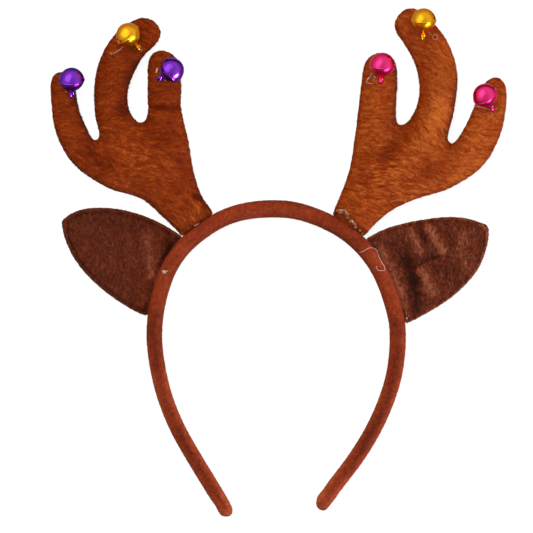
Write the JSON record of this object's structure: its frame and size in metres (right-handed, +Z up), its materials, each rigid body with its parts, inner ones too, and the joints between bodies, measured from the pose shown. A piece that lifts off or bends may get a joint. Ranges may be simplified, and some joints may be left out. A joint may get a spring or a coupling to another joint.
{
  "type": "reindeer antler headband",
  "caption": "Felt-covered headband with two stuffed plush reindeer antlers, two plush ears and small jingle bells glued to the antler tips.",
  "frame": {"origin": "on the table under the middle of the whole headband's bounding box, as it lies on its back", "axes": "+Z up out of the front face, +Y from the tips of the band towards the antlers, +X to the right as the front is seen"},
  "size_m": [0.2072, 0.2311, 0.021],
  "materials": {
    "felt": "matte brushed felt",
    "plush": "short-pile plush",
    "dark_plush": "short-pile plush",
    "purple_metal": "dyed bright metal",
    "gold_metal": "dyed bright metal",
    "pink_metal": "dyed bright metal",
    "pellet_steel": "dull steel",
    "clear_glue": "clear hot glue"
  },
  "bodies": {
    "root": {"headband": "felt", "antler_left": "plush", "antler_right": "plush", "ear_left": "dark_plush", "ear_right": "dark_plush", "bell_left_outer": "purple_metal", "bell_left_middle": "gold_metal", "bell_left_inner": "purple_metal", "bell_right_outer": "pink_metal", "bell_right_middle": "gold_metal", "bell_right_inner": "pink_metal", "pellet_left_outer": "pellet_steel", "pellet_left_middle": "pellet_steel", "pellet_left_inner": "pellet_steel", "pellet_right_outer": "pellet_steel", "pellet_right_middle": "pellet_steel", "pellet_right_inner": "pellet_steel", "glue_left_outer": "clear_glue", "glue_left_middle": "clear_glue", "glue_left_inner": "clear_glue", "glue_right_outer": "clear_glue", "glue_right_middle": "clear_glue", "glue_right_inner": "clear_glue", "glue_root_left": "clear_glue", "glue_root_right": "clear_glue"}
  },
  "joints": []
}
